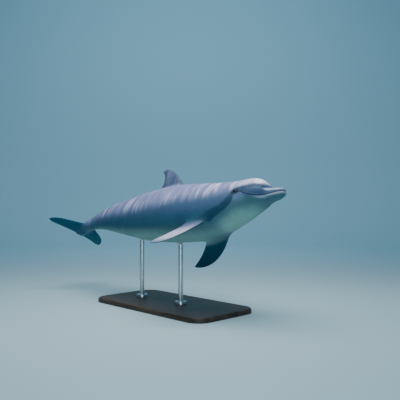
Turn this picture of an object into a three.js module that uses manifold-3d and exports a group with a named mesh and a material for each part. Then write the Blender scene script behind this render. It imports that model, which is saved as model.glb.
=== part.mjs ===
// A life-size display model of an adult bottlenose dolphin, gliding with its right side rolled up,
// its head raised and its flukes on the downstroke, carried on two rods over a flat base.
// Units are millimetres and degrees. The frame has +X the way the dolphin swims, +Y to its left and
// +Z up, with the origin under the middle of the base. Every part of the body is laid out along the
// spine: `at` runs from 0 at the snout to 1 at the notch of the flukes, and sizes that are shares of
// the body's length are given in percent of it.
import * as THREE from "three";
import { mergeVertices } from "three/addons/utils/BufferGeometryUtils.js";
import Module from "manifold-3d";

const wasm = await Module();
wasm.setup();

// ---------------------------------------------------------------- driving dimensions

const LENGTH = 2500; // snout to notch, along the spine
const PERCENT = LENGTH / 100;
const GAP = 0.35; // clearance between neighbouring solids
const MID_AT = 0.452; // the point of the spine that the body turns about
const MID_HEIGHT = 740; // of that point above the floor
const PITCH = 4.5; // nose up
const ROLL = 26; // right side up

// How the spine bends: the way it points at each place, up and to the left, against mid-body.
const BENDS = [
  // at, up, left
  [0.0, 9, 2.5],
  [0.11, 9, 2.5],
  [0.2, 7.5, -1],
  [0.45, 0, 0],
  [0.62, -0.5, 2.5],
  [0.75, 0, 0.5],
  [0.85, 6, -4],
  [0.92, 12.5, -3],
  [0.935, 18, -3],
  [0.955, 24, -2.5],
  [1.0, 29, -2],
];

// Cross-sections of the body, in percent of its length: height of the back over the spine, depth of
// the belly under it, half width, how much the upper half narrows, and how keeled top and bottom are.
const SECTIONS = [
  // at, back, belly, half, narrow, keel
  [0.0, -0.1, 0.1, 0.0, 0.0, 1.0], // tip of the snout
  [0.004, 0.8, 1.05, 0.9, 0.05, 1.0],
  [0.012, 1.28, 1.6, 1.38, 0.1, 1.0],
  [0.024, 1.6, 2.0, 1.72, 0.15, 1.0],
  [0.036, 1.85, 2.1, 1.95, 0.15, 1.0],
  [0.042, 2.05, 2.12, 2.2, 0.12, 1.0], // crease between the beak and the melon
  [0.05, 2.95, 2.2, 2.75, 0.14, 1.0],
  [0.06, 4.05, 2.5, 3.45, 0.18, 1.0],
  [0.08, 5.6, 3.5, 4.3, 0.24, 1.0], // melon
  [0.11, 6.65, 5.05, 4.9, 0.26, 1.0],
  [0.14, 6.8, 6.5, 5.35, 0.22, 1.0], // eyes
  [0.18, 7.15, 7.75, 6.1, 0.14, 1.0],
  [0.23, 7.8, 8.7, 7.1, 0.08, 1.0], // flippers
  [0.3, 8.95, 9.3, 7.95, 0.05, 1.0],
  [0.38, 9.8, 9.1, 8.1, 0.03, 1.0], // greatest girth
  [0.46, 9.95, 8.8, 7.8, 0.03, 1.0],
  [0.54, 9.4, 8.2, 7.1, 0.03, 1.03],
  [0.62, 8.3, 7.0, 5.8, 0.03, 1.08],
  [0.7, 7.1, 5.65, 4.25, 0.02, 1.16],
  [0.78, 5.75, 4.2, 2.85, 0.0, 1.25],
  [0.85, 4.45, 3.0, 1.95, 0.0, 1.3],
  [0.91, 2.9, 2.2, 1.4, 0.0, 1.3],
  [0.94, 1.8, 1.55, 1.3, 0.0, 1.2],
  [0.965, 0.95, 0.85, 1.15, 0.0, 1.05],
  [1.0, 0.3, 0.25, 0.5, 0.0, 1.0], // notch of the flukes
];
const MID_LINE = 0.45; // the widest level of a section, as a share of the height from belly to back
const CREASE_SWEEP = 0.016; // how far back the crease round the melon lies at the sides
const CREASE_REACH = [0.03, 0.11]; // the stretch of the head that this sweep touches
const JAW_LEAD = 0.0015; // how far the lower jaw juts out past the upper one
const JAW_LEAD_FADES = 0.03;

// Where the body is parted into its named lengths.
const NECK_AT = 0.172;
const CHEST_AT = 0.345;
const LOINS_AT = 0.62;
const TAIL_TIP_AT = 0.985;
const AROUND = 32; // facets round the body
const LEAST_STEP = 0.0025; // between an end of a length of the body and its next cross-section

// The places of the solids' cross-sections, closest at the snout.
const STATIONS = [
  ...[0.0004, 0.0014, 0.0032, 0.006, 0.011, 0.018, 0.026, 0.034, 0.0385],
  ...evenly(0.042, 0.06, 4),
  ...evenly(0.06, 0.12, 5),
  ...evenly(0.12, LOINS_AT, 22),
  ...evenly(LOINS_AT, TAIL_TIP_AT, 15),
];

// The mouth, in percent of the length: distance behind the snout and height over the spine.
const MOUTH_LINE = [
  [-1.5, -0.1],
  [0.2, -0.15],
  [0.9, -0.3],
  [1.9, -0.43],
  [3.2, -0.58],
  [4.4, -0.8],
  [5.6, -1.15],
  [6.9, -1.27],
  [8.8, -1.0],
  [10.2, -0.55],
  [11.6, -0.05], // corner of the mouth, in front of the eye
];
const JAW_HINGE = [12.6, -2.6]; // the jaw's rear edge drops from the corner through here
const JAW_BOTTOM = [12.0, -9];
const JAW_FRONT = [-1.5, -9];
const HEAD_WIDTH = 16; // more than the head's
const MOUTH_GAP = 1.2;

// Eyes, in percent of the length, and the eyeball's size.
const EYE_AT = 0.137;
const EYE_HEIGHT = 0.8;
const EYE_RADIUS = 16;
const EYE_PROUD = 3; // how far the eyeball stands out of the skin

// Blowhole: a crescent across the top of the head, with its ends forwards.
const BLOWHOLE_AT = 0.143;
const BLOWHOLE_WIDTH = 30;
const BLOWHOLE_DEPTH = 9;
const BLOWHOLE_SLIT = 4;

// Fins, in percent of the length. Outlines run [outwards, backwards] from the place named `at`: the
// leading edge from root to tip, the trailing edge from tip to root, each the poles of one curve.
const DORSAL = {
  lead: [[-1.2, -1.8], [3.6, 5.0], [9.5, 9.0], [10.0, 14.2], [7.9, 14.4]],
  trail: [[7.9, 14.4], [6.8, 12.4], [2.7, 11.3], [0.3, 12.5], [-1.2, 15.5]],
  at: 0.42,
  thick: 1.25,
};
const FLIPPER = {
  lead: [[-2.2, -0.4], [5.4, -0.5], [12.8, 1.3], [16.7, 5.4], [15.9, 9.4]],
  trail: [[15.9, 9.4], [14.1, 9.1], [8.8, 5.2], [3.2, 6.8], [-2.2, 5.6]],
  at: 0.2245,
  below: 45, // round the section from its widest level
  thick: 1.05,
};
const FLUKE = {
  lead: [[0.06, -0.8], [3.7, 1.5], [8.0, 3.0], [12.1, 7.2], [12.1, 10.1]],
  trail: [[12.1, 10.1], [10.4, 11.0], [6.9, 6.7], [3.1, 7.4], [0.06, 6.6]],
  at: 0.92,
  thick: 0.95,
};
const FLIPPER_SUNK = 0.93; // how far out to the skin its root lies
const TIP_THICKNESS = 0.12; // of a fin, as a share of the root's
const ROOT_FLARE = 0.7; // how much thicker a fin grows where it meets the body
const FLARE_FADES = 0.07; // over this share of its length
const TRAILING_EDGE = 0.06; // thickness there, as a share of the fin's
const LEAST_THICKNESS = 1;

// How each flipper is held: swept back from straight out, lowered, and turned about its length.
const FLIPPER_HOLD = {
  right: { back: 37.5, down: 47, turn: 6 },
  left: { back: 42, down: 26, turn: -27 },
};
// How the flukes are set against the tail: trailing edge down, right side up, and the rise of their
// flexed tips in percent of the length.
const FLUKE_SET = { down: 14, roll: 1.9, curl: 2.75 };

// The stand.
const BASE_LENGTH = 1300;
const BASE_WIDTH = 640;
const BASE_THICKNESS = 36;
const BASE_CORNER = 120;
const BASE_CHAMFER = 5;
const ROD_RADIUS = 19;
const ROD_AT = { front: 0.405, rear: 0.6 }; // where the rods meet the body
const COLLAR_RADIUS = 48;
const COLLAR_HEIGHT = 24;

const COLOURS = {
  back: 0x66707c,
  belly: 0xb9c0bf,
  fins: 0x4a535e,
  eye: 0x14110f,
  base: 0x2b2d30,
  rod: 0xa9adb1,
};

// ---------------------------------------------------------------- small tools

// A smooth curve through a table's [x, y] pairs that doesn't overshoot them.
function curveThrough(xs, ys) {
  const slopes = xs.slice(1).map((x, i) => (ys[i + 1] - ys[i]) / (x - xs[i]));
  const tangents = ys.map((_, i) => {
    if (i === 0) return slopes[0];
    if (i === ys.length - 1) return slopes[i - 1];
    const [before, after] = [slopes[i - 1], slopes[i]];
    return before * after <= 0 ? 0 : (2 * before * after) / (before + after);
  });
  return (x) => {
    let i = xs.findIndex((v, k) => k > 0 && x <= v) - 1;
    if (i < 0) i = x <= xs[0] ? 0 : xs.length - 2;
    const width = xs[i + 1] - xs[i];
    const t = THREE.MathUtils.clamp((x - xs[i]) / width, 0, 1);
    const [t2, t3] = [t * t, t * t * t];
    return (
      (2 * t3 - 3 * t2 + 1) * ys[i] +
      (t3 - 2 * t2 + t) * width * tangents[i] +
      (3 * t2 - 2 * t3) * ys[i + 1] +
      (t3 - t2) * width * tangents[i + 1]
    );
  };
}

// One curve for each column of a table whose first column is `at`.
function columns(table) {
  const ats = table.map((row) => row[0]);
  return table[0].slice(1).map((_, k) =>
    curveThrough(
      ats,
      table.map((row) => row[k + 1]),
    ),
  );
}

// Places from one to the next, without the last.
function evenly(from, to, count) {
  return Array.from({ length: count }, (_, i) => from + ((to - from) * i) / count);
}

function bezier(points, t) {
  if (points.length === 1) return points[0];
  const next = points.slice(1).map((p, i) => p.map((v, k) => points[i][k] * (1 - t) + v * t));
  return bezier(next, t);
}

// A closed geometry from rings of points, all with the same count, closed at each end by a fan.
function skinOver(rings) {
  const count = rings[0].length;
  const positions = rings.flat();
  const index = [];
  rings.slice(1).forEach((_, r) => {
    for (let i = 0; i < count; i++) {
      const [a, b] = [r * count + i, r * count + ((i + 1) % count)];
      index.push(a, b, a + count, b, b + count, a + count);
    }
  });
  [0, rings.length - 1].forEach((r) => {
    const middle = rings[r].reduce((sum, p) => sum.add(p), new THREE.Vector3()).divideScalar(count);
    positions.push(middle);
    for (let i = 0; i < count; i++) {
      const [a, b] = [r * count + i, r * count + ((i + 1) % count)];
      index.push(...(r ? [a, b, positions.length - 1] : [b, a, positions.length - 1]));
    }
  });
  const geometry = new THREE.BufferGeometry().setFromPoints(positions);
  geometry.setIndex(index);
  return geometry;
}

function solidOf(geometry) {
  const bare = geometry.index ? geometry.toNonIndexed() : geometry.clone();
  const merged = mergeVertices(
    new THREE.BufferGeometry().setAttribute("position", bare.getAttribute("position")),
    1e-3,
  );
  const solid = new wasm.Manifold(
    new wasm.Mesh({
      numProp: 3,
      vertProperties: merged.attributes.position.array,
      triVerts: new Uint32Array(merged.index.array),
    }),
  );
  if (solid.volume() >= 0) return solid;
  const flipped = merged.index.array.slice().reverse();
  return new wasm.Manifold(
    new wasm.Mesh({
      numProp: 3,
      vertProperties: merged.attributes.position.array,
      triVerts: new Uint32Array(flipped),
    }),
  );
}

// The largest body of a solid as a geometry: a cut can leave crumbs beside it.
function geometryOf(solid) {
  const bodies = solid.decompose().sort((a, b) => b.volume() - a.volume());
  const mesh = bodies[0].getMesh();
  const corners = new Float32Array(mesh.vertProperties);
  const geometry = new THREE.BufferGeometry();
  geometry.setAttribute("position", new THREE.BufferAttribute(corners, 3));
  geometry.setIndex(new THREE.BufferAttribute(new Uint32Array(mesh.triVerts), 1));
  return geometry;
}

function meshOf(name, solid, colour, finish = {}) {
  const geometry = geometryOf(solid);
  geometry.computeVertexNormals();
  const look = { color: colour, roughness: 0.45, metalness: 0, ...finish };
  const mesh = new THREE.Mesh(geometry, new THREE.MeshStandardMaterial(look));
  mesh.name = name;
  return mesh;
}

// ---------------------------------------------------------------- the spine and the body's skin

const [bendUp, bendLeft] = columns(BENDS);

// The sections follow the square root of the place, which rounds the tip of the snout.
const [backHeight, bellyDepth, halfWidth, narrowing, keeling] = columns(
  SECTIONS.map(([at, ...sizes]) => [Math.sqrt(at), ...sizes]),
).map((curve) => (at) => curve(Math.sqrt(at)));

// The spine's own frames, worked out once by walking back from the snout.
const SPINE_STEPS = 250;
const spine = (() => {
  const frames = [];
  const position = new THREE.Vector3();
  for (let i = 0; i <= SPINE_STEPS; i++) {
    const at = i / SPINE_STEPS;
    const up = THREE.MathUtils.degToRad(bendUp(at));
    const left = THREE.MathUtils.degToRad(bendLeft(at));
    const level = new THREE.Vector3(Math.cos(left), Math.sin(left), 0);
    const ahead = level.clone().multiplyScalar(Math.cos(up)).setZ(Math.sin(up));
    if (i) {
      const step = frames[i - 1].ahead.clone().add(ahead);
      position.addScaledVector(step, -LENGTH / SPINE_STEPS / 2);
    }
    const top = level.clone().multiplyScalar(-Math.sin(up)).setZ(Math.cos(up));
    frames.push({ position: position.clone(), ahead, top, left: top.clone().cross(ahead) });
  }
  const middle = frames[Math.round(MID_AT * SPINE_STEPS)].position.clone();
  frames.forEach((f) => f.position.sub(middle));
  return frames;
})();

// The spine's frame at any place, also a little past its two ends.
function spineAt(at) {
  const x = at * SPINE_STEPS;
  const i = THREE.MathUtils.clamp(Math.floor(x), 0, SPINE_STEPS - 1);
  const [a, b] = [spine[i], spine[i + 1]];
  const mix = (key) => a[key].clone().lerp(b[key], x - i);
  return { position: mix("position"), ahead: mix("ahead"), left: mix("left"), top: mix("top") };
}

// A point beside the spine: to the left and up in millimetres.
function besideSpine(at, left, up) {
  const f = spineAt(at);
  return f.position.addScaledVector(f.left, left).addScaledVector(f.top, up);
}

// The body's surface at a place and an angle round it, as millimetres to the left of the spine and
// over it: 0 is the left side, 90 the back, 180 the right side and 270 the belly.
function skinOffsets(at, angle, fatter = 0) {
  const turn = THREE.MathUtils.degToRad(angle);
  const [c, s] = [Math.cos(turn), Math.sin(turn)];
  const [from, to] = CREASE_REACH;
  const inReach = Math.sin(Math.PI * THREE.MathUtils.clamp((at - from) / (to - from), 0, 1));
  const swept = at - CREASE_SWEEP * c * c * inReach;
  const middle = backHeight(at) * MID_LINE - bellyDepth(at) * (1 - MID_LINE);
  const reach = s > 0 ? backHeight(swept) - middle : bellyDepth(at) + middle;
  const lift = Math.sign(s) * Math.abs(s) ** keeling(at);
  const narrowed = 1 - narrowing(at) * Math.max(0, s) ** 1.5;
  const left = halfWidth(at) * c * narrowed * PERCENT;
  return [left + fatter * c, (middle + reach * lift) * PERCENT + fatter * s];
}

function skinPoint(at, angle, fatter) {
  const below = THREE.MathUtils.smoothstep(-Math.sin(THREE.MathUtils.degToRad(angle)), 0, 0.4);
  const lead = JAW_LEAD * below * Math.exp(-at / JAW_LEAD_FADES);
  return besideSpine(at - lead, ...skinOffsets(at, angle, fatter));
}

// A length of the body between two flat ends.
function bodyLength(from, to, fatter = 0) {
  const places = STATIONS.filter((at) => at > from + LEAST_STEP && at < to - LEAST_STEP);
  const angles = evenly(0, 360, AROUND);
  const rings = [from, ...places, to].map((at) => angles.map((angle) => skinPoint(at, angle, fatter)));
  return solidOf(skinOver(rings));
}

// ---------------------------------------------------------------- head

// Space below the mouth and in front of the jaw's hinge, as wide as the head.
function jawSpace(grow) {
  const outline = [...MOUTH_LINE, JAW_HINGE, JAW_BOTTOM, JAW_FRONT];
  const shape = new THREE.Shape(
    outline.map(([behind, up], i) => {
      const isTop = i < MOUTH_LINE.length;
      const isRear = i >= MOUTH_LINE.length - 1 && i <= MOUTH_LINE.length + 1;
      return new THREE.Vector2(behind * PERCENT + (isRear ? grow : 0), up * PERCENT + (isTop ? grow : 0));
    }),
  );
  const width = HEAD_WIDTH * PERCENT;
  const slab = new THREE.ExtrudeGeometry(shape, { depth: width, bevelEnabled: false });
  slab.translate(0, 0, -width / 2);
  const { position, ahead, left, top } = spineAt(0);
  const frame = new THREE.Matrix4().makeBasis(ahead.clone().negate(), top, left).setPosition(position);
  return solidOf(slab.applyMatrix4(frame));
}

// Where a point at a given height over the spine meets the skin, measured out from the spine.
function skinHalfWidthAt(at, up) {
  const [back, belly] = [backHeight(at), bellyDepth(at)];
  const middle = back * MID_LINE - belly * (1 - MID_LINE);
  const s = (up - middle) / (up > middle ? back - middle : belly + middle);
  return halfWidth(at) * Math.sqrt(1 - s * s) * (1 - narrowing(at) * Math.max(0, s) ** 1.5) * PERCENT;
}

function eyeball(side, grow = 0) {
  const sunk = skinHalfWidthAt(EYE_AT, EYE_HEIGHT) + EYE_PROUD - EYE_RADIUS;
  const ball = new THREE.SphereGeometry(EYE_RADIUS + grow, 14, 9);
  const centre = besideSpine(EYE_AT, side * sunk, EYE_HEIGHT * PERCENT);
  return solidOf(ball.translate(...centre));
}

function blowholeCut() {
  const crescent = new THREE.Shape();
  crescent.absarc(0, 0, BLOWHOLE_WIDTH / 2, Math.PI, 0, true);
  const inner = BLOWHOLE_WIDTH / 2 - BLOWHOLE_SLIT;
  crescent.absellipse(0, 0, BLOWHOLE_WIDTH / 2, inner, 0, Math.PI, false);
  const depth = 2 * BLOWHOLE_DEPTH;
  const cut = new THREE.ExtrudeGeometry(crescent, { depth, bevelEnabled: false, curveSegments: 8 });
  const { ahead, left, top } = spineAt(BLOWHOLE_AT);
  const surface = backHeight(BLOWHOLE_AT) * PERCENT;
  const floor = besideSpine(BLOWHOLE_AT, 0, surface - BLOWHOLE_DEPTH);
  const frame = new THREE.Matrix4().makeBasis(left, ahead.clone().negate(), top).setPosition(floor);
  return solidOf(cut.applyMatrix4(frame));
}

// ---------------------------------------------------------------- fins

// Half the thickness of a fin across its chord, greatest a third of the way back.
function foil(share) {
  return Math.sqrt(share) * (1 - share) ** 1.1;
}
const FOIL_PEAK = foil(0.31);

// A fin from its two edges, placed by toSpace(out, back, over).
function blade({ lead, trail, thick }, toSpace, spanSteps = 18, chordSteps = 7) {
  const rearEdge = [...trail].reverse();
  const rings = [...evenly(0, 1, spanSteps), 0.997].map((along) => {
    const front = bezier(lead, along);
    const rear = bezier(rearEdge, along);
    const taper = TIP_THICKNESS + (1 - TIP_THICKNESS) * (1 - along) ** 0.8;
    const thickness = thick * PERCENT * taper * (1 + ROOT_FLARE * Math.exp(-along / FLARE_FADES));
    const point = (step, face) => {
      const share = (1 - Math.cos((Math.PI * step) / chordSteps)) / 2;
      const depth = (thickness * (foil(share) / FOIL_PEAK + TRAILING_EDGE * share)) / 2;
      const [out, back] = front.map((p, j) => (p + (rear[j] - p) * share) * PERCENT);
      return toSpace(out, back, face * Math.max(depth, step ? LEAST_THICKNESS / 2 : 0));
    };
    const over = Array.from({ length: chordSteps + 1 }, (_, step) => point(step, 1));
    const under = Array.from({ length: chordSteps }, (_, step) => point(chordSteps - step, -1));
    return [...over, ...under];
  });
  return solidOf(skinOver(rings));
}

function dorsalFin() {
  return blade(DORSAL, (out, back, over) => {
    const at = DORSAL.at + back / LENGTH;
    return besideSpine(at, over, backHeight(at) * PERCENT + out);
  });
}

function flipper(side, { back, down, turn }) {
  const [sweep, drop, twist] = [back, down, turn].map(THREE.MathUtils.degToRad);
  const { ahead, left, top } = spineAt(FLIPPER.at);
  const outwards = new THREE.Vector3()
    .addScaledVector(ahead, -Math.sin(sweep) * Math.cos(drop))
    .addScaledVector(left, side * Math.cos(sweep) * Math.cos(drop))
    .addScaledVector(top, -Math.sin(drop));
  const flat = ahead.clone().negate();
  flat.addScaledVector(outwards, -flat.dot(outwards)).normalize();
  const normal = outwards.clone().cross(flat);
  const rearwards = flat.clone().multiplyScalar(Math.cos(twist));
  rearwards.addScaledVector(normal, side * Math.sin(twist));
  normal.crossVectors(outwards, rearwards);
  const [rootLeft, rootUp] = skinOffsets(FLIPPER.at, side > 0 ? -FLIPPER.below : 180 + FLIPPER.below);
  const root = besideSpine(FLIPPER.at, rootLeft * FLIPPER_SUNK, rootUp * FLIPPER_SUNK);
  return blade(FLIPPER, (out, behind, over) =>
    root
      .clone()
      .addScaledVector(outwards, out)
      .addScaledVector(rearwards, behind)
      .addScaledVector(normal, over),
  );
}

function fluke(side) {
  const [down, roll] = [FLUKE_SET.down, FLUKE_SET.roll].map(THREE.MathUtils.degToRad);
  const { position, ahead, left, top } = spineAt(FLUKE.at);
  const across = left.clone().multiplyScalar(Math.cos(roll)).addScaledVector(top, -Math.sin(roll));
  const upright = top.clone().multiplyScalar(Math.cos(roll)).addScaledVector(left, Math.sin(roll));
  const rearwards = ahead.clone().multiplyScalar(-Math.cos(down)).addScaledVector(upright, -Math.sin(down));
  const above = across.clone().cross(rearwards);
  const reach = FLUKE.lead.at(-1)[0] * PERCENT;
  return blade(FLUKE, (out, behind, over) =>
    position
      .clone()
      .addScaledVector(across, side * out)
      .addScaledVector(rearwards, behind)
      .addScaledVector(above, over + FLUKE_SET.curl * PERCENT * (out / reach) ** 2),
  );
}

// ---------------------------------------------------------------- the dolphin

const dolphin = new THREE.Group();
dolphin.rotation.set(
  THREE.MathUtils.degToRad(-ROLL),
  THREE.MathUtils.degToRad(-PITCH),
  0,
  "YXZ",
);
dolphin.position.set(0, 0, MID_HEIGHT);
dolphin.updateMatrix();

const clearBody = bodyLength(STATIONS[0], TAIL_TIP_AT + GAP / LENGTH, GAP);
const half = GAP / 2 / LENGTH;

function buildHead() {
  const jawClosed = jawSpace(0);
  const whole = bodyLength(STATIONS[0], NECK_AT - half);
  const upper = whole
    .subtract(jawSpace(MOUTH_GAP))
    .subtract(eyeball(1, GAP))
    .subtract(eyeball(-1, GAP))
    .subtract(blowholeCut());
  dolphin.add(meshOf("head", upper, COLOURS.back));
  dolphin.add(meshOf("lower_jaw", whole.intersect(jawClosed), COLOURS.belly));
  dolphin.add(meshOf("eye_left", eyeball(1), COLOURS.eye, { roughness: 0.1 }));
  dolphin.add(meshOf("eye_right", eyeball(-1), COLOURS.eye, { roughness: 0.1 }));
}

function buildTrunk() {
  dolphin.add(meshOf("chest", bodyLength(NECK_AT + half, CHEST_AT - half), COLOURS.back));
  dolphin.add(meshOf("trunk", bodyLength(CHEST_AT + half, LOINS_AT - half), COLOURS.back));
  dolphin.add(meshOf("tail_stock", bodyLength(LOINS_AT + half, TAIL_TIP_AT), COLOURS.back));
}

function buildFins() {
  dolphin.add(meshOf("dorsal_fin", dorsalFin().subtract(clearBody), COLOURS.fins));
  const left = fluke(1).subtract(clearBody);
  dolphin.add(meshOf("fluke_left", left, COLOURS.fins));
  dolphin.add(meshOf("fluke_right", fluke(-1).subtract(clearBody), COLOURS.fins));
  dolphin.add(meshOf("flipper_left", flipper(1, FLIPPER_HOLD.left).subtract(clearBody), COLOURS.fins));
  dolphin.add(meshOf("flipper_right", flipper(-1, FLIPPER_HOLD.right).subtract(clearBody), COLOURS.fins));
}

buildHead();
buildTrunk();
buildFins();

// ---------------------------------------------------------------- the stand

function roundedPlate() {
  const [x, y, r] = [BASE_LENGTH / 2 - BASE_CHAMFER, BASE_WIDTH / 2 - BASE_CHAMFER, BASE_CORNER];
  const shape = new THREE.Shape();
  shape.absarc(x - r, y - r, r, 0, Math.PI / 2, false);
  shape.absarc(r - x, y - r, r, Math.PI / 2, Math.PI, false);
  shape.absarc(r - x, r - y, r, Math.PI, 1.5 * Math.PI, false);
  shape.absarc(x - r, r - y, r, 1.5 * Math.PI, 2 * Math.PI, false);
  return new THREE.ExtrudeGeometry(shape, {
    depth: BASE_THICKNESS - 2 * BASE_CHAMFER,
    bevelThickness: BASE_CHAMFER,
    bevelSize: BASE_CHAMFER,
    bevelSegments: 1,
    curveSegments: 6,
  }).translate(0, 0, BASE_CHAMFER);
}

function collar() {
  const inner = ROD_RADIUS + GAP;
  const edge = 4;
  const profile = [
    [inner, 0],
    [COLLAR_RADIUS, 0],
    [COLLAR_RADIUS, COLLAR_HEIGHT - edge],
    [COLLAR_RADIUS - edge, COLLAR_HEIGHT],
    [inner, COLLAR_HEIGHT],
    [inner, 0],
  ].map(([r, z]) => new THREE.Vector2(r, z));
  return new THREE.LatheGeometry(profile, 24).rotateX(Math.PI / 2);
}

const object = new THREE.Group();
object.add(dolphin);

const base = roundedPlate();
object.add(meshOf("stand_base", solidOf(base), COLOURS.base, { roughness: 0.4 }));

const bodyInPlace = clearBody.transform(dolphin.matrix.elements);
Object.entries(ROD_AT).forEach(([name, at]) => {
  const foot = spineAt(at).position.applyMatrix4(dolphin.matrix);
  const rod = new THREE.CylinderGeometry(ROD_RADIUS, ROD_RADIUS, MID_HEIGHT, 24).rotateX(Math.PI / 2);
  rod.translate(foot.x, foot.y, MID_HEIGHT / 2 + BASE_THICKNESS + GAP);
  const metal = { roughness: 0.28, metalness: 1 };
  object.add(meshOf(`stand_rod_${name}`, solidOf(rod).subtract(bodyInPlace), COLOURS.rod, metal));
  const ring = collar().translate(foot.x, foot.y, BASE_THICKNESS + GAP);
  object.add(meshOf(`stand_collar_${name}`, solidOf(ring), COLOURS.rod, metal));
});

export default object;
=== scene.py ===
from math import cos, pi, radians, sin, sqrt

import bmesh
import bpy
import numpy as np
from mathutils import Matrix, Vector
from mathutils.bvhtree import BVHTree


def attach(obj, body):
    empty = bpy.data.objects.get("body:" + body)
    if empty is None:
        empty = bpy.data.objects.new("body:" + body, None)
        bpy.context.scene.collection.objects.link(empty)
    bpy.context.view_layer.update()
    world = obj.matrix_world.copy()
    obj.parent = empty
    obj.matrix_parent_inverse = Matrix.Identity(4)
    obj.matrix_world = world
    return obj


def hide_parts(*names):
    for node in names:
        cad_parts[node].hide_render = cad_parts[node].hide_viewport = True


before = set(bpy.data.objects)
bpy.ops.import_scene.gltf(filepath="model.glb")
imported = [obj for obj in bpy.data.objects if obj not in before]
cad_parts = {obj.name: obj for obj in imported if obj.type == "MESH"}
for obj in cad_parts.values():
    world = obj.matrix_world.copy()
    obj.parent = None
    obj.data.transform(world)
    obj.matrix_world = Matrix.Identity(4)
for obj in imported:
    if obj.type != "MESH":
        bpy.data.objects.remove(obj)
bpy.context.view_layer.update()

# ---- sizes shared with the solids

LENGTH = 2.5
PERCENT = LENGTH / 100
MM = 0.001
MID_AT = 0.452
MID_HEIGHT = 0.74
PITCH = radians(4.5)
ROLL = radians(26)

BENDS = [  # at, degrees up, degrees left
    (0, 9, 2.5), (0.11, 9, 2.5), (0.2, 7.5, -1), (0.45, 0, 0), (0.62, -0.5, 2.5), (0.75, 0, 0.5),
    (0.85, 6, -4), (0.92, 12.5, -3), (0.935, 18, -3), (0.955, 24, -2.5), (1, 29, -2),
]
SECTIONS = [  # at, back, belly, half width, narrowing above, keel
    (0, -0.1, 0.1, 0, 0, 1),
    (0.004, 0.8, 1.05, 0.9, 0.05, 1),
    (0.012, 1.28, 1.6, 1.38, 0.1, 1),
    (0.024, 1.6, 2, 1.72, 0.15, 1),
    (0.036, 1.85, 2.1, 1.95, 0.15, 1),
    (0.042, 2.05, 2.12, 2.2, 0.12, 1),
    (0.05, 2.95, 2.2, 2.75, 0.14, 1),
    (0.06, 4.05, 2.5, 3.45, 0.18, 1),
    (0.08, 5.6, 3.5, 4.3, 0.24, 1),
    (0.11, 6.65, 5.05, 4.9, 0.26, 1),
    (0.14, 6.8, 6.5, 5.35, 0.22, 1),
    (0.18, 7.15, 7.75, 6.1, 0.14, 1),
    (0.23, 7.8, 8.7, 7.1, 0.08, 1),
    (0.3, 8.95, 9.3, 7.95, 0.05, 1),
    (0.38, 9.8, 9.1, 8.1, 0.03, 1),
    (0.46, 9.95, 8.8, 7.8, 0.03, 1),
    (0.54, 9.4, 8.2, 7.1, 0.03, 1.03),
    (0.62, 8.3, 7, 5.8, 0.03, 1.08),
    (0.7, 7.1, 5.65, 4.25, 0.02, 1.16),
    (0.78, 5.75, 4.2, 2.85, 0, 1.25),
    (0.85, 4.45, 3, 1.95, 0, 1.3),
    (0.91, 2.9, 2.2, 1.4, 0, 1.3),
    (0.94, 1.8, 1.55, 1.3, 0, 1.2),
    (0.965, 0.95, 0.85, 1.15, 0, 1.05),
    (1, 0.3, 0.25, 0.5, 0, 1),
]
MID_LINE = 0.45
NARROWING_POWER = 1.5
CREASE_SWEEP = 0.016
CREASE_REACH = (0.03, 0.11)
JAW_LEAD = 0.0015
JAW_LEAD_FADES = 0.03
TAIL_TIP_AT = 0.985
MOUTH_LINE = [  # percent behind the snout and over the spine
    (-1.5, -0.1), (0.2, -0.15), (0.9, -0.3), (1.9, -0.43), (3.2, -0.58), (4.4, -0.8),
    (5.6, -1.15), (6.9, -1.27), (8.8, -1), (10.2, -0.55), (11.6, -0.05),
]
EYE_AT = 0.137
EYE_HEIGHT = 0.8
EYE_RADIUS = 16 * MM
EYE_PROUD = 3 * MM
BLOWHOLE_AT = 0.143

DORSAL = {
    "lead": [(-1.2, -1.8), (3.6, 5.0), (9.5, 9.0), (10.0, 14.2), (7.9, 14.4)],
    "trail": [(7.9, 14.4), (6.8, 12.4), (2.7, 11.3), (0.3, 12.5), (-1.2, 15.5)],
    "at": 0.42,
    "thick": 1.25,
}
FLIPPER = {
    "lead": [(-2.2, -0.4), (5.4, -0.5), (12.8, 1.3), (16.7, 5.4), (15.9, 9.4)],
    "trail": [(15.9, 9.4), (14.1, 9.1), (8.8, 5.2), (3.2, 6.8), (-2.2, 5.6)],
    "at": 0.2245,
    "below": 45,
    "thick": 1.05,
}
FLUKE = {
    "lead": [(0.06, -0.8), (3.7, 1.5), (8.0, 3.0), (12.1, 7.2), (12.1, 10.1)],
    "trail": [(12.1, 10.1), (10.4, 11.0), (6.9, 6.7), (3.1, 7.4), (0.06, 6.6)],
    "at": 0.92,
    "thick": 0.95,
}
FLIPPER_SUNK = 0.93
TIP_THICKNESS = 0.12
TAPER_POWER = 0.8
FOIL_REAR_POWER = 1.1
FOIL_PEAK_AT = 0.31
ROOT_FLARE = 0.7
FLARE_FADES = 0.07
TRAILING_EDGE = 0.06
LEAST_THICKNESS = 1 * MM
SIDES = ((1, "left"), (-1, "right"))
FLIPPER_HOLD = {1: (42, 26, -27), -1: (37.5, 47, 6)}  # degrees back, down and twisted
FLUKE_DOWN = radians(14)
FLUKE_ROLL = radians(1.9)
FLUKE_CURL = 2.75

BASE_LENGTH = 1.3
BASE_WIDTH = 0.64
BASE_THICKNESS = 36 * MM
BASE_CORNER = 120 * MM
ROD_RADIUS = 19 * MM
ROD_AT = {"front": 0.405, "rear": 0.6}
AROUND = 72  # points round an eye or a rod
COLLAR_HEIGHT = 24 * MM

# ---- small tools


def smoothstep(x, low, high):
    t = np.clip((x - low) / (high - low), 0, 1)
    return t * t * (3 - 2 * t)


def hump(distance, width):
    return np.exp(-0.5 * (distance / width) ** 2)


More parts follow.
